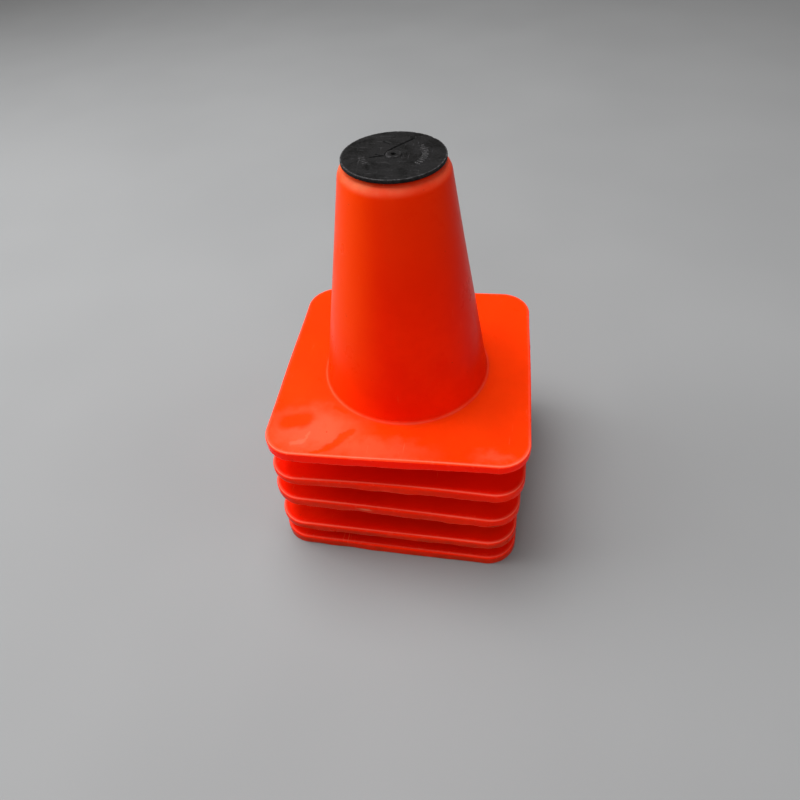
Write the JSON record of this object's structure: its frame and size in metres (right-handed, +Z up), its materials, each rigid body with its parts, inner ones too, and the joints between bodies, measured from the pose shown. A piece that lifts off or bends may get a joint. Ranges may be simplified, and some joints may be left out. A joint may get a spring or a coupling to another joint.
{
  "type": "traffic cone stack",
  "caption": "Stack of nested square-based safety cones in soft orange vinyl, each one lifting off the next, with a loose flat black disc lying on the top cone.",
  "frame": {"origin": "on the floor, on the vertical axis of the stack, at the underside of the lowest cone's base plate", "axes": "+Z up along the stack's axis; X and Y run along the sides of the lowest cone's square base plate"},
  "size_m": [0.2558, 0.2558, 0.376],
  "materials": {
    "orange_vinyl": "soft satin vinyl, lightly scuffed",
    "black_disc": "worn, scratched matt black"
  },
  "bodies": {
    "cone_1": {"cone_1": "orange_vinyl"},
    "cone_2": {"cone_2": "orange_vinyl"},
    "cone_3": {"cone_3": "orange_vinyl"},
    "cone_4": {"cone_4": "orange_vinyl"},
    "cone_5": {"cone_5": "orange_vinyl"},
    "cap_disc": {"cap_disc": "black_disc"}
  },
  "joints": [
    {"name": "cone_2_lift", "type": "slide", "parent": "cone_1", "child": "cone_2", "axis": [0, 0, 1], "range_m": [0, 0.213]},
    {"name": "cone_3_lift", "type": "slide", "parent": "cone_2", "child": "cone_3", "axis": [0, 0, 1], "range_m": [0, 0.198]},
    {"name": "cone_4_lift", "type": "slide", "parent": "cone_3", "child": "cone_4", "axis": [0, 0, 1], "range_m": [0, 0.202]},
    {"name": "cone_5_lift", "type": "slide", "parent": "cone_4", "child": "cone_5", "axis": [0, 0, 1], "range_m": [0, 0.199]},
    {"name": "cap_disc_lift", "type": "slide", "parent": "cone_5", "child": "cap_disc", "axis": [0, 0, 1], "range_m": [0, 0.05]}
  ]
}
